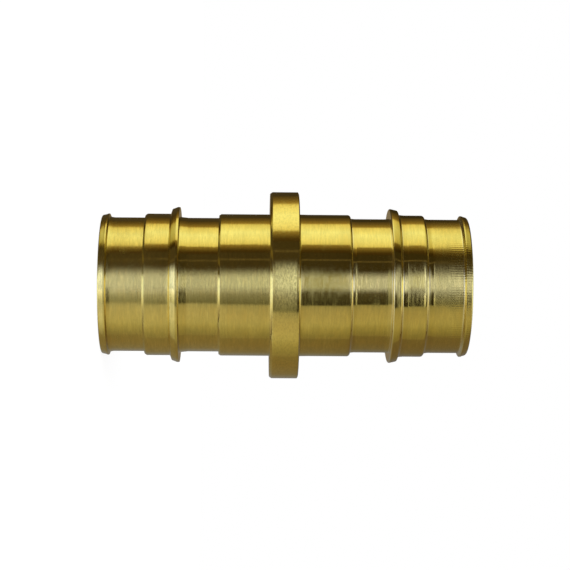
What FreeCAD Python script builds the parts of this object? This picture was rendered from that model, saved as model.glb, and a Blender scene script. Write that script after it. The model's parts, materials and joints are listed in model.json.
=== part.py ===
# Straight coupling for cold-expansion plastic pipe, 1 inch nominal size, turned from one
# brass bar and bored right through. A plain collar in the middle is the stop for both pipes.
# An insert stands out of each side of it, and the expanded pipe shrinks back over the insert.
# From the collar outwards an insert has a long land, a groove, a barb, a short land, a second
# groove and a low rim whose cone leads the pipe on. The two inserts have the same section, but
# the upper one's edges are rounded over, where the lower one's are still crisp. The coupling
# stands on one end, with its bore along +Z and its origin at the centre of the lower end face.
# Sizes are in millimetres.

import FreeCAD, Part
import os

import Sketcher

NODE = "coupling_body"
SHEET = "Sizes"

# Driving sizes. A rise is measured along the radius, from the surface named before it.
SIZES = {
    "bore_diameter": (20.6, "through bore"),
    "groove_wall": (1.65, "wall left between the bore and the bottom of a groove"),
    "land_rise": (0.71, "both lands above the grooves"),
    "collar_rise": (4.0, "collar above the lands"),
    "collar_width": (5.14, "collar along the axis"),
    "inner_land_length": (9.13, "land beside the collar"),
    "inner_groove_length": (6.9, "groove between that land and the barb"),
    "barb_cone_length": (1.42, "cone that ends in the barb's crest"),
    "barb_cone_rise": (0.35, "climb of that cone up to the crest"),
    "barb_lead_length": (0.3, "steep lead between the short land and the cone"),
    "barb_lead_rise": (0.86, "climb of the steep lead above the short land"),
    "outer_land_length": (4.5, "short land outside the barb"),
    "outer_groove_length": (5.8, "groove between the short land and the rim"),
    "rim_flank_length": (0.7, "sloping flank from that groove up to the rim's crest"),
    "rim_rise": (0.68, "rim's crest above the groove"),
    "rim_cone_length": (1.18, "lead cone from the rim's crest to the end face"),
    "rim_cone_drop": (0.3, "fall of the lead cone towards the end face"),
    "collar_chamfer": (0.3, "both rims of the collar"),
    "lower_land_chamfer": (0.12, "the lower lands' edges that face the pipe"),
    "upper_land_radius": (0.5, "the same edges of the upper lands, rounded over"),
    "upper_barb_chamfer": (0.2, "crest of the upper barb, dulled"),
    "bore_chamfer": (0.4, "both mouths of the bore"),
    "nose_radius": (0.25, "outer edge of each end face"),
}

# The two sides of the collar's middle plane, as the sign of a height.
UPPER = 1
LOWER = -1


def size(name):
    """The expression that reads one driving size."""
    return f"{SHEET}.{name}"


def total(*terms):
    """The expression that adds up several terms."""
    return "(" + " + ".join(terms) + ")"


# Sizes that follow from the driving ones, as expressions of the document.
BORE_RADIUS = f"({size('bore_diameter')} / 2)"
GROOVE_RADIUS = total(BORE_RADIUS, size("groove_wall"))
LAND_RADIUS = total(GROOVE_RADIUS, size("land_rise"))
COLLAR_RADIUS = total(LAND_RADIUS, size("collar_rise"))
BARB_LEAD_RADIUS = total(LAND_RADIUS, size("barb_lead_rise"))
BARB_RADIUS = total(BARB_LEAD_RADIUS, size("barb_cone_rise"))
RIM_RADIUS = total(GROOVE_RADIUS, size("rim_rise"))
NOSE_RADIUS = f"({RIM_RADIUS} - {size('rim_cone_drop')})"

# Heights above the collar's middle plane.
COLLAR_FACE = f"({size('collar_width')} / 2)"
INNER_STEP = total(COLLAR_FACE, size("inner_land_length"))
BARB_FLANK = total(INNER_STEP, size("inner_groove_length"))
BARB_LENGTH = total(size("barb_cone_length"), size("barb_lead_length"))
OUTER_STEP = total(BARB_FLANK, BARB_LENGTH, size("outer_land_length"))
RIM_FOOT = total(OUTER_STEP, size("outer_groove_length"))
END_FACE = total(RIM_FOOT, size("rim_flank_length"), size("rim_cone_length"))

# One insert as the turning tool follows it, from the collar's middle plane to the end face:
# each cut's name, how far it goes along the axis and the radius that it ends at. A cut that
# says 0 along the axis is square to it, and one that keeps its radius is parallel to it.
INSERT_CUTS = [
    ("inner_land", INNER_STEP, None),
    ("inner_step", "0", GROOVE_RADIUS),
    ("inner_groove", size("inner_groove_length"), None),
    ("barb_flank", "0", BARB_RADIUS),
    ("barb_cone", size("barb_cone_length"), BARB_LEAD_RADIUS),
    ("barb_lead", size("barb_lead_length"), LAND_RADIUS),
    ("outer_land", size("outer_land_length"), None),
    ("outer_step", "0", GROOVE_RADIUS),
    ("outer_groove", size("outer_groove_length"), None),
    ("rim_flank", size("rim_flank_length"), RIM_RADIUS),
    ("rim_cone", size("rim_cone_length"), NOSE_RADIUS),
]


def make_sheet(doc):
    """The spreadsheet that holds every driving size under its own alias."""
    sheet = doc.addObject("Spreadsheet::Sheet", SHEET)
    for row, (name, (value, meaning)) in enumerate(SIZES.items(), start=1):
        sheet.set(f"A{row}", meaning)
        sheet.set(f"B{row}", str(value))
        sheet.setAlias(f"B{row}", name)
    doc.recompute()
    return sheet


def origin_plane(body, role):
    """One of the body's own origin planes, by its role."""
    return next(feature for feature in body.Origin.OriginFeatures if feature.Role == role)


def plane_sketch(body, name, role):
    """A new sketch on one of the body's origin planes."""
    sketch = body.newObject("Sketcher::SketchObject", name)
    sketch.AttachmentSupport = [(origin_plane(body, role), "")]
    sketch.MapMode = "FlatFace"
    return sketch


def dimension(sketch, kind, name, expression, *where):
    """A named dimension whose value follows an expression."""
    value = 1.0
    index = sketch.addConstraint(Sketcher.Constraint(kind, *where, value))
    sketch.renameConstraint(index, name)
    sketch.setExpression(f"Constraints.{name}", expression)


def circle_sketch(body, name, radius):
    """A circle about the axis, on the collar's middle plane."""
    sketch = plane_sketch(body, name, "XY_Plane")
    centre, normal = FreeCAD.Vector(0, 0, 0), FreeCAD.Vector(0, 0, 1)
    circle = sketch.addGeometry(Part.Circle(centre, normal, 1.0))
    sketch.addConstraint(Sketcher.Constraint("Coincident", circle, 3, -1, 1))
    dimension(sketch, "Radius", "circle_radius", radius, circle)
    return sketch


def value_of(doc, expression):
    """What an expression comes to now, as a number of millimetres."""
    return float(doc.getObject(SHEET).evalExpression(expression))


def insert_sketch(doc, body):
    """Half the insert's section, closed along the axis and dimensioned cut by cut."""
    sketch = plane_sketch(body, "insert_section", "XZ_Plane")
    points = [(0.0, 0.0), (value_of(doc, LAND_RADIUS), 0.0)]
    for _, along, radius in INSERT_CUTS:
        last_radius, last_height = points[-1]
        new_radius = last_radius if radius is None else value_of(doc, radius)
        points.append((new_radius, last_height + value_of(doc, along)))
    points.append((0.0, points[-1][1]))

    corners = [FreeCAD.Vector(x, y, 0) for x, y in points]
    lines = [
        sketch.addGeometry(Part.LineSegment(start, end))
        for start, end in zip(corners, corners[1:] + corners[:1])
    ]
    for line, following in zip(lines, lines[1:] + lines[:1]):
        sketch.addConstraint(Sketcher.Constraint("Coincident", line, 2, following, 1))

    foot, *cuts, face, axis = lines
    sketch.addConstraint(Sketcher.Constraint("Coincident", foot, 1, -1, 1))
    sketch.addConstraint(Sketcher.Constraint("Horizontal", foot))
    sketch.addConstraint(Sketcher.Constraint("Horizontal", face))
    sketch.addConstraint(Sketcher.Constraint("Vertical", axis))
    dimension(sketch, "DistanceX", "land_radius", LAND_RADIUS, foot, 1, foot, 2)
    for line, (name, along, radius) in zip(cuts, INSERT_CUTS):
        if radius is None:
            sketch.addConstraint(Sketcher.Constraint("Vertical", line))
        else:
            dimension(sketch, "DistanceX", f"{name}_radius", radius, -1, 1, line, 2)
        if along == "0":
            sketch.addConstraint(Sketcher.Constraint("Horizontal", line))
        else:
            dimension(sketch, "DistanceY", f"{name}_length", along, line, 1, line, 2)
    return sketch


def circles(feature, radius, heights, sides=(LOWER, UPPER)):
    """The names of a feature's round edges of one radius, at these heights on each side."""
    doc = feature.Document
    wanted_radius = value_of(doc, radius)
    wanted_heights = [side * value_of(doc, height) for side in sides for height in heights]
    close = 1e-5
    names = []
    for index, edge in enumerate(feature.Shape.Edges, start=1):
        if not isinstance(edge.Curve, Part.Circle):
            continue
        right_size = abs(edge.Curve.Radius - wanted_radius) < close
        height = edge.Curve.Center.z
        if right_size and any(abs(height - wanted) < close for wanted in wanted_heights):
            names.append(f"Edge{index}")
    if len(names) != len(wanted_heights):
        raise ValueError(f"{len(names)} round edges of radius {wanted_radius} at {wanted_heights}")
    return names


def dress_edges(body, kind, name, edges, amount):
    """A chamfer or a fillet on these edges of the body's last feature."""
    base = body.Tip
    dressing = body.newObject(f"PartDesign::{kind}", name)
    dressing.Base = (base, edges)
    dressing.setExpression("Radius" if kind == "Fillet" else "Size", size(amount))
    body.Document.recompute()


def make_collar(body):
    """The pipe stop, a plain disc about the collar's middle plane."""
    sketch = circle_sketch(body, "collar_circle", COLLAR_RADIUS)
    collar = body.newObject("PartDesign::Pad", "collar")
    collar.Profile = sketch
    collar.Midplane = True
    collar.setExpression("Length", size("collar_width"))


def make_inserts(doc, body):
    """The upper insert turned about the axis, and its mirror image below the collar."""
    sketch = insert_sketch(doc, body)
    insert = body.newObject("PartDesign::Revolution", "upper_insert")
    insert.Profile = sketch
    insert.ReferenceAxis = (sketch, ["V_Axis"])
    insert.Angle = 360
    doc.recompute()
    lower = body.newObject("PartDesign::Mirrored", "lower_insert")
    lower.Originals = [insert]
    lower.MirrorPlane = (origin_plane(body, "XY_Plane"), [""])
    body.Tip = lower
    doc.recompute()


def make_bore(doc, body):
    """The waterway, bored straight through."""
    sketch = circle_sketch(body, "bore_circle", BORE_RADIUS)
    before = body.Shape.Volume
    bore = body.newObject("PartDesign::Pocket", "bore")
    bore.Profile = sketch
    bore.Type = "ThroughAll"
    bore.Midplane = True
    doc.recompute()
    if body.Shape.Volume >= before:
        raise ValueError("the bore cuts nothing")


def break_edges(body):
    """Chamfers and radii of the outer edges: crisp on the lower insert, dulled on the upper."""
    lower_lands = circles(body.Tip, LAND_RADIUS, [INNER_STEP, OUTER_STEP], [LOWER])
    dress_edges(body, "Chamfer", "lower_land_edges", lower_lands, "lower_land_chamfer")
    upper_lands = circles(body.Tip, LAND_RADIUS, [INNER_STEP, OUTER_STEP], [UPPER])
    dress_edges(body, "Fillet", "upper_land_edges", upper_lands, "upper_land_radius")
    upper_crest = circles(body.Tip, BARB_RADIUS, [BARB_FLANK], [UPPER])
    dress_edges(body, "Chamfer", "upper_barb_crest", upper_crest, "upper_barb_chamfer")
    collar_edges = circles(body.Tip, COLLAR_RADIUS, [COLLAR_FACE])
    dress_edges(body, "Chamfer", "collar_edges", collar_edges, "collar_chamfer")
    noses = circles(body.Tip, NOSE_RADIUS, [END_FACE])
    dress_edges(body, "Fillet", "noses", noses, "nose_radius")
    mouths = circles(body.Tip, BORE_RADIUS, [END_FACE])
    dress_edges(body, "Chamfer", "bore_mouths", mouths, "bore_chamfer")


def make_coupling(doc):
    """The whole fitting as one solid, lifted so that it stands on its lower end face."""
    body = doc.addObject("PartDesign::Body", NODE)
    body.Label = NODE
    make_collar(body)
    doc.recompute()
    make_inserts(doc, body)
    make_bore(doc, body)
    break_edges(body)
    body.setExpression("Placement.Base.z", END_FACE)
    doc.recompute()
    return body


def check_document(doc):
    """Stops the build if any object failed to recompute."""
    failed = [item.Name for item in doc.Objects if {"Invalid", "Error"} & set(item.State)]
    if failed:
        raise ValueError(f"these objects failed: {failed}")


def write_part(part):
    """Writes one sub-part as a STEP file under its label."""
    shape = part.Shape
    if shape.isNull() or not shape.isValid() or len(shape.Solids) != 1:
        raise ValueError(f"{part.Label} isn't one valid solid")
    os.makedirs("parts", exist_ok=True)
    shape.exportStep(f"parts/{part.Label}.step")
    box = shape.BoundBox
    print(f"{part.Label}: {box.XLength:.2f} x {box.YLength:.2f} x {box.ZLength:.2f} mm,")
    print(f"  from z {box.ZMin:.3f}, {shape.Volume / 1000:.3f} cm3, {len(shape.Faces)} faces")


document = FreeCAD.newDocument("coupling")
make_sheet(document)
coupling = make_coupling(document)
check_document(document)
write_part(coupling)
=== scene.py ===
import json
import math

import bpy
from mathutils import Matrix, Vector


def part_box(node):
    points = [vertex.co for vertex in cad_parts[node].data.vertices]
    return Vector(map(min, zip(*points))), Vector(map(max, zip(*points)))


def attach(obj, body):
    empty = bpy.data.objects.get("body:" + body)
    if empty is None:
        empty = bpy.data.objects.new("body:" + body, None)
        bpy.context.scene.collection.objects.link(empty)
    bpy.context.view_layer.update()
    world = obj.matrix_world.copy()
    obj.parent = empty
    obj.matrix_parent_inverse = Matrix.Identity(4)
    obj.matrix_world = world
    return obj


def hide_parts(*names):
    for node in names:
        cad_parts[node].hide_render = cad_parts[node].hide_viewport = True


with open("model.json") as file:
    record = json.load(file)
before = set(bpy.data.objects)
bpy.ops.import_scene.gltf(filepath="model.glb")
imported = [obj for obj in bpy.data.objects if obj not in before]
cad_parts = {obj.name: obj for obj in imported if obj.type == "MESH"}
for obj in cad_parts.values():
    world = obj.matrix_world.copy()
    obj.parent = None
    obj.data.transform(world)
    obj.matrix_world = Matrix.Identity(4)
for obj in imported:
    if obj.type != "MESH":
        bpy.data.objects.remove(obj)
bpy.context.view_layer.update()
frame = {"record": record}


# The camera. It looks almost level at the standing coupling and is itself turned onto its side, so
# that the coupling lies across the picture with its upper end to the right.
mm = 0.001
low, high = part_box("coupling_body")
middle = (low.z + high.z) / 2

camera_distance = 320 * mm
camera_below_level = math.radians(1.02)
camera_roll = math.radians(0.41)
aim = Vector((-0.05 * mm, 0, middle + 0.11 * mm))
picture_width = 570
focal_length_px = 1785.0

camera_data = bpy.data.cameras.new("camera")
camera_data.sensor_width = 36.0
camera_data.lens = camera_data.sensor_width * focal_length_px / picture_width
camera_data.clip_start = 10 * mm
camera_data.clip_end = 10.0
camera = bpy.data.objects.new("camera", camera_data)
bpy.context.collection.objects.link(camera)

forward = Vector((0.0, math.cos(camera_below_level), math.sin(camera_below_level)))
level_up = Vector((-1.0, 0.0, 0.0))
level_right = forward.cross(level_up)
right = level_right * math.cos(camera_roll) + level_up * math.sin(camera_roll)
up = right.cross(forward)
camera_turn = Matrix((right, up, -forward)).transposed().to_4x4()
camera.matrix_world = Matrix.Translation(aim - forward * camera_distance) @ camera_turn
bpy.context.scene.camera = camera


# The coupling, one piece turned from brass bar and bored through. The collar in the middle keeps
# the bar's own drawn skin. The two inserts are cut to the same section, each with two lands, two
# grooves, a barb and a rim, but the upper one's edges have been rounded over in finishing.
mounts = {mount["name"]: mount for mount in frame["record"]["mounts"]}
bore_radius = mounts["bore"]["dims"]["r_mm"] * mm
land_radius = mounts["upper_land"]["dims"]["r_mm"] * mm
collar_radius = high.x
groove_radius = land_radius - 0.71 * mm
barb_lead_radius = land_radius + 0.86 * mm
barb_radius = barb_lead_radius + 0.35 * mm
rim_radius = groove_radius + 0.68 * mm
nose_radius = rim_radius - 0.30 * mm
bore_mouth = 0.4 * mm

# Heights along the axis from the collar's middle plane to the end face.
collar_face = 2.57 * mm
inner_step = collar_face + 9.13 * mm
barb_flank = inner_step + 6.9 * mm
barb_cone_end = barb_flank + 1.42 * mm
barb_lead_end = barb_cone_end + 0.3 * mm
outer_step = barb_lead_end + 4.5 * mm
rim_crest = outer_step + 6.5 * mm
end_face = (high.z - low.z) / 2

# Most corners where two cuts meet are crisp. The tool's round nose shows at the collar's upper
# foot, and the collar's edges are chamfered, the lower one over more of its width.
crisp = 0.05 * mm
tool_nose = 0.35 * mm
crest_flat = 0.42 * mm
upper_rim_wall, lower_rim_wall = 0.34 * mm, 0.28 * mm
collar_chamfer, collar_edge = 0.3 * mm, 0.1 * mm
long_chamfer, short_chamfer = 0.42 * mm, 0.17 * mm


def land_edge(height, rounded):
    """A land's outer edge: rounded over, or a small crisp chamfer."""
    length, drop, rounding = 0.36 * mm, 0.22 * mm, 0.5 * mm
    if rounded:
        return [(height, land_radius, rounding)]
    return [(height - length, land_radius, crisp), (height, land_radius - drop, crisp)]


def run_out(height, radius, length, rise, corner):
    """A corner that the tool ran out of on a gentle slope. A minus length is for a wall that faces
    the collar, and the corners then come in the other order."""
    easing = 1.5 * mm
    corners = [(height, radius + rise, corner), (height + length, radius, easing)]
    return corners if length > 0 else corners[::-1]


def rim_land(height):
    """The rim's narrow land and the fine step where its nose was cut."""
    width, fall, step, fine = 0.28 * mm, 0.02 * mm, 0.05 * mm, 0.02 * mm
    return [
        (height, rim_radius, crisp),
        (height + width, rim_radius - fall, fine),
        (height + width + fine, rim_radius - fall - step, fine),
    ]


def insert_corners(rounded):
    """One insert's corners as height, radius and rounding, from the collar to the bore's mouth. The
    two inserts' faces and flanks lie a hair to one side of the named heights."""
    if rounded:
        face, flank = collar_face - 0.12 * mm, barb_flank - 0.06 * mm
        crest, lead, nose, root = 0.28 * mm, 0.3 * mm, 0.45 * mm, 0.15 * mm
        rim_foot = rim_crest - upper_rim_wall
        collar_foot = run_out(face, land_radius, length=1.8 * mm, rise=0.035 * mm, corner=tool_nose)
        step_foot = run_out(inner_step, groove_radius, length=0.7 * mm, rise=0.07 * mm, corner=crisp)
        flank_foot = run_out(flank, groove_radius, length=-0.8 * mm, rise=0.08 * mm, corner=crisp)
        crest_corners = [(flank, barb_radius, crest)]
        lead_foot = run_out(barb_lead_end, land_radius, length=0.9 * mm, rise=0.09 * mm, corner=root)
        outer_foot = run_out(outer_step, groove_radius, length=0.8 * mm, rise=0.12 * mm, corner=crisp)
        rim_corners = [(rim_foot, groove_radius, root), *rim_land(rim_crest)]
    else:
        face, flank = collar_face + 0.1 * mm, barb_flank + 0.08 * mm
        crest, cone_start, lead, nose, root = 0.06 * mm, 0.1 * mm, 0.12 * mm, 0.25 * mm, 0.2 * mm
        rim_foot, rim_start = rim_crest - lower_rim_wall, rim_crest - 0.05 * mm
        collar_foot = [(face, land_radius, crisp)]
        step_foot = [(inner_step, groove_radius, crisp)]
        flank_foot = run_out(flank, groove_radius, length=-1.5 * mm, rise=0.16 * mm, corner=root)
        crest_corners = [(flank, barb_radius, crest), (flank + crest_flat, barb_radius, cone_start)]
        lead_foot = [(barb_lead_end, land_radius, crisp)]
        outer_foot = [(outer_step, groove_radius, crisp)]
        rim_corners = [
            *run_out(rim_foot, groove_radius, length=-0.6 * mm, rise=0.12 * mm, corner=crisp),
            *rim_land(rim_start),
        ]
    return [
        (face, collar_radius - collar_chamfer, crisp),
        *collar_foot,
        *land_edge(inner_step, rounded),
        *step_foot,
        *flank_foot,
        *crest_corners,
        (barb_cone_end, barb_lead_radius, lead),
        *lead_foot,
        *land_edge(outer_step, rounded),
        *outer_foot,
        *rim_corners,
        (end_face, nose_radius, nose),
        (end_face, bore_radius + bore_mouth, crisp),
        (end_face - bore_mouth, bore_radius, crisp),
    ]


def rounded_outline(corners, arc_step=math.radians(14)):
    """A closed outline with each corner replaced by an arc of its own radius."""
    points = []
    for index, (height, radius, rounding) in enumerate(corners):
        corner = Vector((height, radius))
        before = Vector(corners[index - 1][:2]) - corner
        after = Vector(corners[(index + 1) % len(corners)][:2]) - corner
        before.normalize()
        after.normalize()
        half_angle = before.angle(after) / 2
        centre = corner + (before + after).normalized() * rounding / math.sin(half_angle)
        start = corner + before * rounding / math.tan(half_angle) - centre
        turn = math.pi - 2 * half_angle
        way = 1 if before.cross(after) < 0 else -1
        steps = max(2, math.ceil(turn / arc_step))
        for step in range(steps + 1):
            angle = way * turn * step / steps
            cos, sin = math.cos(angle), math.sin(angle)
            along = start.x * cos - start.y * sin
            outward = start.x * sin + start.y * cos
            points.append(centre + Vector((along, outward)))
    return points


def with_stations(points, outside_spacing=0.45 * mm, bore_spacing=4.0 * mm):
    """The outline with its straight stretches divided, finely where turning marks show."""
    divided = []
    for start, end in zip(points, points[1:] + points[:1]):
        in_bore = max(start.y, end.y) < bore_radius + bore_mouth
        spacing = bore_spacing if in_bore else outside_spacing
        pieces = max(1, round((end - start).length / spacing))
        divided.extend(start.lerp(end, piece / pieces) for piece in range(pieces))
    return divided


upper_corners = insert_corners(rounded=True)
lower_corners = [
    (-height, radius, rounding) for height, radius, rounding in insert_corners(rounded=False)
]
collar_corners = [
    (lower_corners[0][0] + long_chamfer, collar_radius, collar_edge),
    (upper_corners[0][0] - short_chamfer, collar_radius, crisp),
]
section = with_stations(rounded_outline(collar_corners + upper_corners + lower_corners[::-1]))

# The section as a closed curve. Swept round a circle as wide as the bore, a point's x is how far
# it lies outside the bore and its y points down the axis.
section_curve = bpy.data.curves.new("section", "CURVE")
section_curve.dimensions = "3D"
section_spline = section_curve.splines.new("POLY")
section_spline.points.add(len(section) - 1)
for spline_point, (height, radius) in zip(section_spline.points, reversed(section)):
    spline_point.co = (radius - bore_radius, -(height + middle), 0.0, 1.0)
section_spline.use_cyclic_u = True
section_object = bpy.data.objects.new("section", section_curve)
bpy.context.collection.objects.link(section_object)


def add_node(tree, kind, **settings):
    """A node with its own properties set."""
    node = tree.nodes.new(kind)
    for name, value in settings.items():
        setattr(node, name, value)
    return node


def link(tree, source, target):
    """Joins one node's output to another's input."""
    tree.links.new(source, target)


def math_node(tree, operation, first, second=None):
    """A Math node. Each term is a socket or a number."""
    node = add_node(tree, "ShaderNodeMath", operation=operation)
    for slot, term in enumerate([first, second]):
        if term is None:
            continue
        if isinstance(term, (int, float)):
            node.inputs[slot].default_value = term
        else:
            link(tree, term, node.inputs[slot])
    return node.outputs[0]


def stretched_noise(tree, coordinates, scale, detail=2.0, roughness=0.5):
    """Noise between 0 and 1 whose grains are 1/scale metres long along each axis."""
    stretch = add_node(tree, "ShaderNodeVectorMath", operation="MULTIPLY")
    stretch.inputs[1].default_value = scale
    link(tree, coordinates, stretch.inputs[0])
    noise = add_node(tree, "ShaderNodeTexNoise")
    noise.inputs["Scale"].default_value = 1.0
    noise.inputs["Detail"].default_value = detail
    noise.inputs["Roughness"].default_value = roughness
    link(tree, stretch.outputs["Vector"], noise.inputs["Vector"])
    return noise.outputs[0]


def between(tree, value, start, end, low_value, high_value, smooth=False):
    """Map Range from start..end to low_value..high_value, held at its ends."""
    node = add_node(tree, "ShaderNodeMapRange", clamp=True)
    if smooth:
        node.interpolation_type = "SMOOTHSTEP"
    link(tree, value, node.inputs["Value"])
    node.inputs["From Min"].default_value = start
    node.inputs["From Max"].default_value = end
    node.inputs["To Min"].default_value = low_value
    node.inputs["To Max"].default_value = high_value
    return node.outputs["Result"]


def brass(name, anisotropy):
    """A metal shader with the tangent running round the axis, and its tree."""
    material = bpy.data.materials.new(name)
    material.use_nodes = True
    tree = material.node_tree
    shader = tree.nodes["Principled BSDF"]
    shader.inputs["Metallic"].default_value = 1.0
    shader.inputs["Anisotropic"].default_value = anisotropy
    shader.inputs["Anisotropic Rotation"].default_value = 0.25
    tangent = add_node(tree, "ShaderNodeTangent", direction_type="RADIAL", axis="Z")
    link(tree, tangent.outputs["Tangent"], shader.inputs["Tangent"])
    return material, tree, shader


def mix_colours(tree, factor, first, second):
    """One colour or the other by a factor. Each colour is three numbers or a socket."""
    node = add_node(tree, "ShaderNodeMix", data_type="RGBA")
    link(tree, factor, node.inputs["Factor"])
    for socket, colour in ((node.inputs[6], first), (node.inputs[7], second)):
        if isinstance(colour, tuple):
            socket.default_value = (*colour, 1.0)
        else:
            link(tree, colour, socket)
    return node.outputs[2]


# The brass as it was cut and where it has stained or dulled, with a paler brass painted at each
# step's foot as a highlight.
bright_brass = (0.95, 0.79, 0.275)
deep_brass = (0.91, 0.73, 0.235)
stained_brass = (0.78, 0.58, 0.17)
dull_brass = (0.76, 0.64, 0.22)
foot_highlight_brass = (0.95, 0.85, 0.5)
chatter_count = 172


def turned_brass():
    """Fine turned brass: rings that the tool left, with short dull streaks between them."""
    material, tree, shader = brass("turned brass", 0.7)
    place = add_node(tree, "ShaderNodeTexCoord").outputs["Object"]
    fine_rings = stretched_noise(tree, place, (150, 150, 7000))
    broad_rings = stretched_noise(tree, place, (60, 60, 1400))
    streaks = stretched_noise(tree, place, (480, 480, 2800), detail=3.0, roughness=0.65)
    patches = stretched_noise(tree, place, (520, 520, 560), detail=3.0, roughness=0.6)
    stain = stretched_noise(tree, place, (130, 130, 220), detail=3.0, roughness=0.6)
    broad = between(tree, broad_rings, 0.3, 0.7, 0.0, 1.0)
    colour = mix_colours(tree, broad, bright_brass, deep_brass)
    for pattern, start, end, share, tone in (
        (stain, 0.5, 0.75, 0.5, stained_brass),
        (patches, 0.45, 0.7, 0.6, dull_brass),
        (streaks, 0.36, 0.66, 0.9, dull_brass),
    ):
        colour = mix_colours(tree, between(tree, pattern, start, end, 0.0, share), colour, tone)

    split = add_node(tree, "ShaderNodeSeparateXYZ")
    link(tree, place, split.inputs[0])
    above_middle = math_node(tree, "SUBTRACT", split.outputs["Z"], middle)
    # Painted highlight: a pale brass line of colour at the foot of each step on the upper insert.
    highlight_core, highlight_fade = 0.08 * mm, 0.26 * mm
    for foot in (inner_step, barb_flank, barb_lead_end, outer_step, rim_crest - upper_rim_wall):
        off_foot = math_node(tree, "ABSOLUTE", math_node(tree, "SUBTRACT", above_middle, foot))
        foot_highlight = between(tree, off_foot, highlight_core, highlight_fade, 0.8, 0.0)
        colour = mix_colours(tree, foot_highlight, colour, foot_highlight_brass)
    link(tree, colour, shader.inputs["Base Color"])

    # The outer ends, which were handled most, are the dullest.
    grip_start, grip_full = outer_step + 0.7 * mm, outer_step + 1.6 * mm
    handled = between(tree, above_middle, grip_start, grip_full, 0.0, 0.12, smooth=True)
    lower_handled = between(tree, above_middle, -barb_lead_end, -outer_step, 0.0, 0.1, smooth=True)
    handled = math_node(tree, "ADD", handled, lower_handled)
    dull = between(tree, streaks, 0.42, 0.75, 0.06, 0.17)
    dull = math_node(tree, "ADD", dull, between(tree, patches, 0.45, 0.75, 0.0, 0.05))
    link(tree, math_node(tree, "ADD", dull, handled), shader.inputs["Roughness"])

    # The relief is calmer above the collar, and has a comb of chatter beside the upper rim.
    bump = add_node(tree, "ShaderNodeBump")
    bump.inputs["Strength"].default_value = 0.8
    bump.inputs["Distance"].default_value = 0.02 * mm
    relief = math_node(tree, "ADD", streaks, math_node(tree, "MULTIPLY", fine_rings, 0.2))
    calm = between(tree, above_middle, -1 * mm, 1 * mm, 1.0, 0.42)
    relief = math_node(tree, "MULTIPLY", relief, calm)
    turn = math_node(tree, "ARCTAN2", split.outputs["Y"], split.outputs["X"])
    wave = math_node(tree, "SINE", math_node(tree, "MULTIPLY", turn, chatter_count))
    chatter_start, chatter_full = rim_crest - 3.4 * mm, rim_crest - 1.6 * mm
    near_rim = between(tree, above_middle, chatter_start, chatter_full, 0.0, 0.16, smooth=True)
    relief = math_node(tree, "ADD", relief, math_node(tree, "MULTIPLY", wave, near_rim))
    link(tree, relief, bump.inputs["Height"])
    link(tree, bump.outputs["Normal"], shader.inputs["Normal"])
    return material


def drawn_brass():
    """The bar's own skin on the collar: even, with a fine speckle and no rings."""
    material, tree, shader = brass("drawn brass", 0.0)
    place = add_node(tree, "ShaderNodeTexCoord").outputs["Object"]
    speckle = stretched_noise(tree, place, (1700, 1700, 3200), roughness=0.6)
    cloud = stretched_noise(tree, place, (300, 300, 300))
    colour = mix_colours(tree, between(tree, cloud, 0.3, 0.7, 0.0, 1.0), bright_brass, deep_brass)
    colour = mix_colours(tree, between(tree, speckle, 0.4, 0.7, 0.0, 0.8), colour, dull_brass)
    link(tree, colour, shader.inputs["Base Color"])
    link(tree, between(tree, speckle, 0.4, 0.75, 0.08, 0.2), shader.inputs["Roughness"])
    bump = add_node(tree, "ShaderNodeBump")
    bump.inputs["Strength"].default_value = 0.2
    bump.inputs["Distance"].default_value = 0.02 * mm
    link(tree, speckle, bump.inputs["Height"])
    link(tree, bump.outputs["Normal"], shader.inputs["Normal"])
    return material


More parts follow.
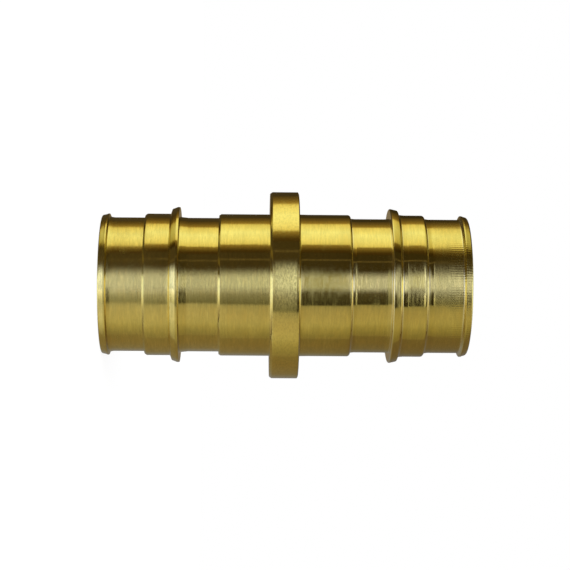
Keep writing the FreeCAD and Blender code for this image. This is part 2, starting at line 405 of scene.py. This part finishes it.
def lathe_tree():
    """Turns a section round the Z axis and leaves shallow tool marks and the collar's skin."""
    tree = bpy.data.node_groups.new("turned about the axis", "GeometryNodeTree")
    inputs = {}
    for name, kind in (
        ("Section", "NodeSocketGeometry"),
        ("Sides", "NodeSocketInt"),
        ("Bore radius", "NodeSocketFloat"),
        ("Land radius", "NodeSocketFloat"),
        ("Middle height", "NodeSocketFloat"),
        ("Collar face", "NodeSocketFloat"),
        ("Ring depth", "NodeSocketFloat"),
        ("Skin depth", "NodeSocketFloat"),
        ("Turned finish", "NodeSocketMaterial"),
        ("Drawn finish", "NodeSocketMaterial"),
    ):
        inputs[name] = tree.interface.new_socket(name, in_out="INPUT", socket_type=kind).identifier
    tree.interface.new_socket("Mesh", in_out="OUTPUT", socket_type="NodeSocketGeometry")
    given = add_node(tree, "NodeGroupInput").outputs

    circle = add_node(tree, "GeometryNodeCurvePrimitiveCircle")
    link(tree, given["Sides"], circle.inputs["Resolution"])
    link(tree, given["Bore radius"], circle.inputs["Radius"])
    sweep = add_node(tree, "GeometryNodeCurveToMesh")
    link(tree, circle.outputs["Curve"], sweep.inputs["Curve"])
    link(tree, given["Section"], sweep.inputs["Profile Curve"])

    place = add_node(tree, "GeometryNodeInputPosition").outputs["Position"]
    split = add_node(tree, "ShaderNodeSeparateXYZ")
    link(tree, place, split.inputs[0])
    outwards = add_node(tree, "ShaderNodeVectorMath", operation="MULTIPLY")
    outwards.inputs[1].default_value = (1.0, 1.0, 0.0)
    link(tree, place, outwards.inputs[0])
    length = add_node(tree, "ShaderNodeVectorMath", operation="LENGTH")
    link(tree, outwards.outputs["Vector"], length.inputs[0])
    radius = length.outputs["Value"]
    direction = add_node(tree, "ShaderNodeVectorMath", operation="NORMALIZE")
    link(tree, outwards.outputs["Vector"], direction.inputs[0])

    above_middle = math_node(tree, "SUBTRACT", split.outputs["Z"], given["Middle height"])
    from_middle = math_node(tree, "ABSOLUTE", above_middle)
    past_bore = math_node(tree, "ADD", given["Bore radius"], 1 * mm)
    outside = math_node(tree, "GREATER_THAN", radius, past_bore)
    past_face = math_node(tree, "ADD", given["Collar face"], 0.01 * mm)
    in_collar = math_node(tree, "LESS_THAN", from_middle, past_face)
    past_land = math_node(tree, "ADD", given["Land radius"], 3 * mm)
    off_land = math_node(tree, "GREATER_THAN", radius, past_land)
    on_skin = math_node(tree, "MULTIPLY", in_collar, off_land)
    on_insert = math_node(tree, "MULTIPLY", outside, math_node(tree, "SUBTRACT", 1.0, in_collar))

    rings = stretched_noise(tree, place, (40, 40, 1100), detail=1.0)
    skin = stretched_noise(tree, place, (900, 900, 900))
    ring_cut = math_node(tree, "MULTIPLY", rings, given["Ring depth"])
    ring_cut = math_node(tree, "MULTIPLY", ring_cut, on_insert)
    skin_cut = math_node(tree, "MULTIPLY", skin, given["Skin depth"])
    skin_cut = math_node(tree, "MULTIPLY", skin_cut, on_skin)
    inwards = math_node(tree, "MULTIPLY", math_node(tree, "ADD", ring_cut, skin_cut), -1.0)
    offset = add_node(tree, "ShaderNodeVectorMath", operation="SCALE")
    link(tree, direction.outputs["Vector"], offset.inputs[0])
    link(tree, inwards, offset.inputs["Scale"])

    cut = add_node(tree, "GeometryNodeSetPosition")
    link(tree, sweep.outputs["Mesh"], cut.inputs["Geometry"])
    link(tree, offset.outputs["Vector"], cut.inputs["Offset"])
    smooth = add_node(tree, "GeometryNodeSetShadeSmooth")
    link(tree, cut.outputs["Geometry"], smooth.inputs["Geometry"])
    real = add_node(tree, "GeometryNodeRealizeInstances")
    link(tree, smooth.outputs["Geometry"], real.inputs["Geometry"])
    turned = add_node(tree, "GeometryNodeSetMaterial")
    link(tree, real.outputs["Geometry"], turned.inputs["Geometry"])
    link(tree, given["Turned finish"], turned.inputs["Material"])
    drawn = add_node(tree, "GeometryNodeSetMaterial")
    link(tree, turned.outputs["Geometry"], drawn.inputs["Geometry"])
    link(tree, on_skin, drawn.inputs["Selection"])
    link(tree, given["Drawn finish"], drawn.inputs["Material"])
    link(tree, drawn.outputs["Geometry"], add_node(tree, "NodeGroupOutput").inputs["Mesh"])
    return tree, inputs


tree, inputs = lathe_tree()
turning = section_object.modifiers.new("turning", "NODES")
turning.node_group = tree
for name, value in {
    "Sides": 240,
    "Bore radius": bore_radius,
    "Land radius": land_radius,
    "Middle height": middle,
    "Collar face": collar_face,
    "Ring depth": 0.0016 * mm,
    "Skin depth": 0.005 * mm,
    "Turned finish": turned_brass(),
    "Drawn finish": drawn_brass(),
}.items():
    turning[inputs[name]] = value

graph = bpy.context.evaluated_depsgraph_get()
coupling_mesh = bpy.data.meshes.new_from_object(section_object.evaluated_get(graph))
coupling_mesh.name = "coupling"
bpy.data.objects.remove(section_object)
coupling = bpy.data.objects.new("coupling", coupling_mesh)
bpy.context.collection.objects.link(coupling)
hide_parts("coupling_body")
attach(coupling, "root")


# The floor, a plain white sheet that the coupling stands on. To the camera it is the white of the
# backdrop with only the coupling's soft shadow on it.
def white_to_the_eye(tree, share):
    """How much plain white is mixed into a surface: the share for rays from the camera and from
    metal, and none for the rest."""
    path = add_node(tree, "ShaderNodeLightPath").outputs
    seen = math_node(tree, "MAXIMUM", path["Is Camera Ray"], path["Is Glossy Ray"])
    seen = math_node(tree, "MAXIMUM", seen, path["Is Transmission Ray"])
    return math_node(tree, "MULTIPLY", seen, share)


floor_material = bpy.data.materials.new("floor")
floor_material.use_nodes = True
floor_tree = floor_material.node_tree
floor_shader = floor_tree.nodes["Principled BSDF"]
floor_shader.inputs["Base Color"].default_value = (0.95, 0.95, 0.95, 1.0)
floor_shader.inputs["Roughness"].default_value = 0.9
floor_shader.inputs["Specular IOR Level"].default_value = 0.0
floor_white = add_node(floor_tree, "ShaderNodeEmission")
floor_white.inputs["Strength"].default_value = 1.0
floor_mix = add_node(floor_tree, "ShaderNodeMixShader")
link(floor_tree, white_to_the_eye(floor_tree, 0.85), floor_mix.inputs["Fac"])
link(floor_tree, floor_shader.outputs["BSDF"], floor_mix.inputs[1])
link(floor_tree, floor_white.outputs["Emission"], floor_mix.inputs[2])
link(floor_tree, floor_mix.outputs["Shader"], floor_tree.nodes["Material Output"].inputs["Surface"])

floor_reach = 0.6
floor_mesh = bpy.data.meshes.new("floor")
floor_corners = [
    (x * floor_reach, y * floor_reach, 0) for x, y in ((-1, -1), (1, -1), (1, 1), (-1, 1))
]
floor_mesh.from_pydata(floor_corners, [], [(0, 1, 2, 3)])
floor_mesh.materials.append(floor_material)
floor = bpy.data.objects.new("floor", floor_mesh)
floor.visible_glossy = False
bpy.context.collection.objects.link(floor)


# The backdrop is the world: white to the camera and in the metal, and a soft even light for the
# rest.
world = bpy.data.worlds.new("backdrop")
bpy.context.scene.world = world
world.use_nodes = True
world_tree = world.node_tree
soft_light = world_tree.nodes["Background"]
soft_light.inputs["Color"].default_value = (1.0, 1.0, 1.0, 1.0)
soft_light.inputs["Strength"].default_value = 1.1
plain_white = add_node(world_tree, "ShaderNodeBackground")
plain_white.inputs["Color"].default_value = (1.0, 1.0, 1.0, 1.0)
plain_white.inputs["Strength"].default_value = 1.0
world_mix = add_node(world_tree, "ShaderNodeMixShader")
link(world_tree, white_to_the_eye(world_tree, 1.0), world_mix.inputs["Fac"])
link(world_tree, soft_light.outputs["Background"], world_mix.inputs[1])
link(world_tree, plain_white.outputs["Background"], world_mix.inputs[2])
link(world_tree, world_mix.outputs["Shader"], world_tree.nodes["World Output"].inputs["Surface"])


# The light tent, dark cloth with glowing cards hung in it, which the metal shows as bands. An
# angle runs round the axis from the camera's side towards the picture's top, in degrees. A height
# runs from the collar's middle plane, in mm, so that minus is the picture's left.
tent_radius = 200 * mm
tent_end = 260
card_end = 230
card_length = 2 * card_end
layer_gap = 2 * mm
fold_width = 30
folding = 2 * math.pi * card_length / fold_width
even_glow = [(0.0, 1, 1, 1)]


def ramp(tree, share, stops):
    """A colour that goes from stop to stop. Each stop is a share and three numbers."""
    node = add_node(tree, "ShaderNodeValToRGB")
    elements = node.color_ramp.elements
    elements.remove(elements[-1])
    while len(elements) < len(stops):
        elements.new(1.0)
    for element, (place, *colour) in zip(elements, stops):
        element.position = place
        element.color = (*colour, 1.0)
    link(tree, share, node.inputs["Fac"])
    return node.outputs["Color"]


def glowing_cloth(name, across, along, soft_sides, soft_ends, folds=0.0):
    """A glow over the UV map, see-through towards its soft edges, with upright folds."""
    material = bpy.data.materials.new(name)
    material.use_nodes = True
    tree = material.node_tree
    tree.nodes.remove(tree.nodes["Principled BSDF"])
    split = add_node(tree, "ShaderNodeSeparateXYZ")
    link(tree, add_node(tree, "ShaderNodeUVMap").outputs["UV"], split.inputs[0])
    u, v = split.outputs["X"], split.outputs["Y"]
    glow = add_node(tree, "ShaderNodeVectorMath", operation="MULTIPLY")
    link(tree, ramp(tree, u, across), glow.inputs[0])
    link(tree, ramp(tree, v, along), glow.inputs[1])
    glowing = add_node(tree, "ShaderNodeEmission")
    glowing.inputs["Strength"].default_value = 1.0
    link(tree, glow.outputs["Vector"], glowing.inputs["Color"])
    if folds:
        wave = math_node(tree, "SINE", math_node(tree, "MULTIPLY", v, folding))
        strength = between(tree, wave, -1.0, 1.0, 1.0 - folds, 1.0 + folds)
        link(tree, strength, glowing.inputs["Strength"])
    cover = None
    for share, (first, last) in ((u, soft_sides), (v, soft_ends)):
        for soft, edge, inside in ((first, 0.0, first), (last, 1.0, 1.0 - last)):
            if soft:
                rise = between(tree, share, edge, inside, 0.0, 1.0, smooth=True)
                cover = rise if cover is None else math_node(tree, "MULTIPLY", cover, rise)
    surface = glowing.outputs["Emission"]
    if cover is not None:
        mix = add_node(tree, "ShaderNodeMixShader")
        link(tree, cover, mix.inputs["Fac"])
        link(tree, add_node(tree, "ShaderNodeBsdfTransparent").outputs["BSDF"], mix.inputs[1])
        link(tree, surface, mix.inputs[2])
        surface = mix.outputs["Shader"]
    link(tree, surface, tree.nodes["Material Output"].inputs["Surface"])
    return material


def hang(name, corners, faces, uvs, material):
    """A card of the tent, which only the metal sees."""
    mesh = bpy.data.meshes.new(name)
    mesh.from_pydata(corners, [], faces)
    layer = mesh.uv_layers.new(name="UVMap")
    for loop in mesh.loops:
        layer.data[loop.index].uv = uvs[loop.vertex_index]
    mesh.materials.append(material)
    card = bpy.data.objects.new(name, mesh)
    bpy.context.collection.objects.link(card)
    card.visible_camera = False
    card.visible_diffuse = False
    card.visible_transmission = False
    card.visible_shadow = False


def curved_card(
    name,
    outline,
    across,
    soft_sides,
    along=even_glow,
    soft_ends=(0.0, 0.0),
    layer=0,
    folds=0.0,
):
    """A card bent round the axis. The outline gives a start and an end angle at each height."""
    radius = tent_radius - layer * layer_gap
    steps = 40
    lowest, highest = outline[0][0], outline[-1][0]
    corners, uvs = [], []
    for height, start, end in outline:
        for step in range(steps + 1):
            angle = math.radians(start + (end - start) * step / steps)
            x, y = -radius * math.sin(angle), -radius * math.cos(angle)
            corners.append((x, y, middle + height * mm))
            uvs.append((step / steps, (height - lowest) / (highest - lowest)))
    row = steps + 1
    faces = [
        (first, first + 1, first + row + 1, first + row)
        for station in range(len(outline) - 1)
        for first in range(station * row, station * row + steps)
    ]
    cloth = glowing_cloth(name, across, along, soft_sides, soft_ends, folds)
    hang(name, corners, faces, uvs, cloth)


def end_card(name, height, across):
    """A flat card across one end of the tent, whose glow goes from its lower to its upper side."""
    reach = tent_radius * 1.1
    level = middle + height * mm
    corners = [(x * reach, y * reach, level) for x, y in ((1, -1), (-1, -1), (-1, 1), (1, 1))]
    uvs = [(0, 0), (1, 0), (1, 1), (0, 1)]
    cloth = glowing_cloth(name, across, even_glow, soft_sides=(0, 0), soft_ends=(0, 0))
    hang(name, corners, [(0, 1, 2, 3)], uvs, cloth)


# The cloth itself, which is the dark that lies between the bands.
curved_card(
    "dark cloth",
    [(-tent_end, -180, 180), (tent_end, -180, 180)],
    across=[(0.0, 0.068, 0.051, 0.027)],
    along=[(0.40, 1, 1, 1), (0.58, 0.58, 0.57, 0.42)],
    soft_sides=(0, 0),
)
# The wide gold band along the picture's top.
curved_card(
    "top softbox",
    [
        (-card_end, 63, 128), (-120, 61, 128), (-60, 51.5, 135), (-34, 51, 136), (-20, 50, 137),
        (0, 51, 139), (44, 50.5, 143), (48, 47, 143), (58, 47, 144), (64, 50.5, 144),
        (120, 52, 142), (card_end, 56, 142),
    ],
    across=[
        (0.0, 0.05, 0.03, 0.008), (0.06, 0.06, 0.036, 0.01), (0.11, 0.14, 0.095, 0.028),
        (0.145, 0.23, 0.16, 0.048), (0.17, 0.26, 0.19, 0.05), (0.195, 0.84, 0.75, 0.36),
        (0.25, 0.96, 0.9, 0.5), (0.34, 1.04, 1.03, 0.64), (0.47, 1.08, 1.12, 0.76),
        (0.56, 1.02, 1.0, 0.58), (0.66, 0.92, 0.84, 0.42), (0.705, 0.82, 0.72, 0.32),
        (0.73, 0.46, 0.34, 0.11), (0.76, 0.29, 0.2, 0.053), (0.87, 0.14, 0.092, 0.028),
        (1.0, 0.065, 0.045, 0.015),
    ],
    along=[
        (0.0, 0.45, 0.42, 0.28), (0.2, 0.5, 0.47, 0.32), (0.3, 0.7, 0.67, 0.6),
        (0.40, 0.98, 0.95, 0.93), (0.5, 1, 1, 1), (0.62, 0.98, 0.97, 0.95), (0.7, 0.7, 0.66, 0.5),
        (0.8, 0.5, 0.47, 0.32),
    ],
    soft_sides=(0.04, 0.0),
    soft_ends=(0.1, 0.1),
    layer=2,
)
# The thin line in the dark under the gold band.
curved_card(
    "seam of the tent",
    [(-card_end, 39, 41.6), (card_end, 39, 41.6)],
    across=[(0.0, 0.13, 0.10, 0.055)],
    soft_sides=(0.3, 0.3),
    layer=1,
)
# The pale band across the middle. Its edges and glow change from step to step.
curved_card(
    "front card",
    [
        (-card_end, -16, 38), (-110, -16, 37), (-60, -18, 31), (-34, -17, 30.5), (-28, -16, 28),
        (-16, -15.5, 28), (-14, -14, 27), (-3, -14, 27), (-1, -14.5, 31.5), (7, -14.5, 31.5),
        (9, -12.5, 25), (22, -12.5, 25), (24, -14, 26), (34, -14, 26), (36, -8.5, 24),
        (44, -8.5, 25), (48, -24, 42.5), (58, -24, 42.5), (63, -14, 23), (104, -14, 23),
        (114, -20, 38), (card_end, -20, 35),
    ],
    across=[(0.0, 0.62, 0.66, 0.88), (0.35, 0.66, 0.70, 0.94)],
    along=[
        (0.24, 1.6, 1.7, 1.9), (0.28, 1, 1, 1), (0.43, 1, 1, 1), (0.442, 0.82, 0.81, 0.72),
        (0.465, 0.82, 0.81, 0.72), (0.467, 0.67, 0.67, 0.58), (0.496, 0.67, 0.67, 0.58),
        (0.499, 2.5, 2.6, 2.45), (0.516, 2.5, 2.6, 2.45), (0.519, 0.32, 0.3, 0.17),
        (0.547, 0.32, 0.3, 0.17), (0.551, 1.5, 1.5, 1.6), (0.573, 1.5, 1.5, 1.6),
        (0.58, 0.84, 0.83, 0.64), (0.594, 0.84, 0.83, 0.64), (0.60, 1.18, 1.2, 1.25),
        (0.62, 1.18, 1.2, 1.25), (0.75, 0.9, 0.9, 0.9), (0.81, 0.9, 0.9, 0.9),
        (0.84, 0.3, 0.29, 0.24), (0.885, 0.3, 0.29, 0.24), (0.91, 1.4, 1.4, 1.4),
    ],
    soft_sides=(0.3, 0.46),
    layer=4,
    folds=0.6,
)
# The pale band's dim lower part.
curved_card(
    "front card's lower sheet",
    [(-card_end, -36, -5), (card_end, -36, -5)],
    across=[
        (0.0, 0.24, 0.235, 0.18), (0.25, 0.28, 0.28, 0.23), (0.6, 0.43, 0.44, 0.45),
        (0.8, 0.58, 0.6, 0.7),
    ],
    along=[
        (0.25, 2.2, 2.2, 2.4), (0.28, 1, 1, 1), (0.43, 1, 1, 1), (0.442, 0.6, 0.57, 0.5),
        (0.465, 0.58, 0.55, 0.48), (0.468, 0.45, 0.43, 0.37), (0.496, 0.45, 0.43, 0.37),
        (0.499, 0.95, 0.95, 0.9), (0.516, 0.95, 0.95, 0.9), (0.519, 0.09, 0.075, 0.04),
        (0.547, 0.09, 0.075, 0.04), (0.551, 0.2, 0.17, 0.11), (0.573, 0.2, 0.17, 0.11),
        (0.578, 0.045, 0.04, 0.03), (0.596, 0.045, 0.04, 0.03), (0.608, 2.1, 2.1, 2.05),
        (0.62, 2.1, 2.1, 2.05), (0.635, 0.1, 0.08, 0.04), (0.74, 0.1, 0.08, 0.04), (0.78, 1, 1, 1),
        (0.81, 1, 1, 1), (0.84, 0.1, 0.1, 0.08),
    ],
    soft_sides=(0.0, 0.1),
    layer=3,
    folds=0.2,
)
# The olive band under the pale one. It is two cards, because its upper edge and colours differ on
# the two inserts.
warm_bottom = -96
warm_fading = [
    (0.24, 1.35, 1.45, 1.95), (0.34, 1.05, 1.05, 1.05), (0.46, 0.97, 0.96, 0.94),
    (0.56, 0.88, 0.84, 0.7), (0.62, 0.82, 0.78, 0.62),
]
for name, tops, top_glow in (
    (
        "left warm card",
        [(-card_end, -29), (-27, -29)],
        [(0.8, 0.51, 0.47, 0.34), (0.93, 0.47, 0.445, 0.35), (1.0, 0.42, 0.41, 0.34)],
    ),
    (
        "right warm card",
        [(-27, -29), (0, -28.5), (8, -30), (40, -30), (48, -31.5), (card_end, -31.5)],
        [
            (0.7, 0.49, 0.44, 0.3), (0.84, 0.45, 0.41, 0.29), (0.93, 0.39, 0.365, 0.27),
            (1.0, 0.33, 0.32, 0.25),
        ],
    ),
):
    low_end = (tops[0][0] + card_end) / card_length
    reach = (tops[-1][0] - tops[0][0]) / card_length
    curved_card(
        name,
        [(height, warm_bottom, top) for height, top in tops],
        across=[
            (0.0, 0.265, 0.22, 0.13), (0.15, 0.3, 0.265, 0.145), (0.35, 0.41, 0.37, 0.215),
            (0.45, 0.48, 0.44, 0.28), (0.55, 0.5, 0.455, 0.3), *top_glow,
        ],
        along=[
            (max(0, min(1, (share - low_end) / reach)), *glow) for share, *glow in warm_fading
        ],
        soft_sides=(0.06, 0.05),
        layer=5,
    )
# The dull gold towards the bottom edge.
curved_card(
    "low bounce",
    [(-card_end, -176, -90), (card_end, -176, -90)],
    across=[
        (0.0, 0.26, 0.26, 0.28), (0.3, 0.24, 0.235, 0.24), (0.45, 0.235, 0.205, 0.15),
        (0.75, 0.25, 0.20, 0.115), (1.0, 0.25, 0.21, 0.115),
    ],
    along=[
        (0.3, 1, 1, 1), (0.46, 0.96, 0.93, 0.9), (0.54, 0.80, 0.76, 0.66), (0.6, 0.68, 0.62, 0.58),
    ],
    soft_sides=(0.1, 0.0),
    layer=4,
)
# A faint glow at the back, for the sides that the photo doesn't show.
curved_card(
    "back card",
    [(-200, 162, 202), (200, 162, 202)],
    across=[(0.0, 0.22, 0.17, 0.10)],
    soft_sides=(0.25, 0.25),
    layer=3,
)
# The tent's two ends, which the steps' walls and the chamfers mirror.
end_glow = [
    (0.0, 0.18, 0.15, 0.11), (0.21, 0.5, 0.45, 0.35), (0.31, 0.8, 0.8, 0.75),
    (0.36, 0.92, 0.98, 1.1), (0.42, 1.1, 1.22, 1.5), (0.56, 1.1, 1.22, 1.5),
    (0.635, 0.12, 0.10, 0.06), (0.73, 0.04, 0.03, 0.02), (0.77, 0.14, 0.105, 0.035),
    (0.82, 0.15, 0.115, 0.04), (0.87, 0.06, 0.045, 0.02),
]
end_card("lower end card", -tent_end, end_glow)
end_card("upper end card", tent_end, end_glow)


# The key light, a broad soft panel above the camera, for the coupling's shadow on the floor. The
# metal doesn't show it, because the tent's cards stand for all that it reflects.
key_light = bpy.data.lights.new("key light", "AREA")
key_light.energy = 4.0
key_light.size = 0.4
key = bpy.data.objects.new("key light", key_light)
key.location = (-0.2, -0.6, 0.6)
key.rotation_euler = (Vector((0, 0, middle)) - key.location).to_track_quat("-Z", "Y").to_euler()
key.visible_glossy = False
bpy.context.collection.objects.link(key)

bpy.context.scene.view_settings.view_transform = "Standard"
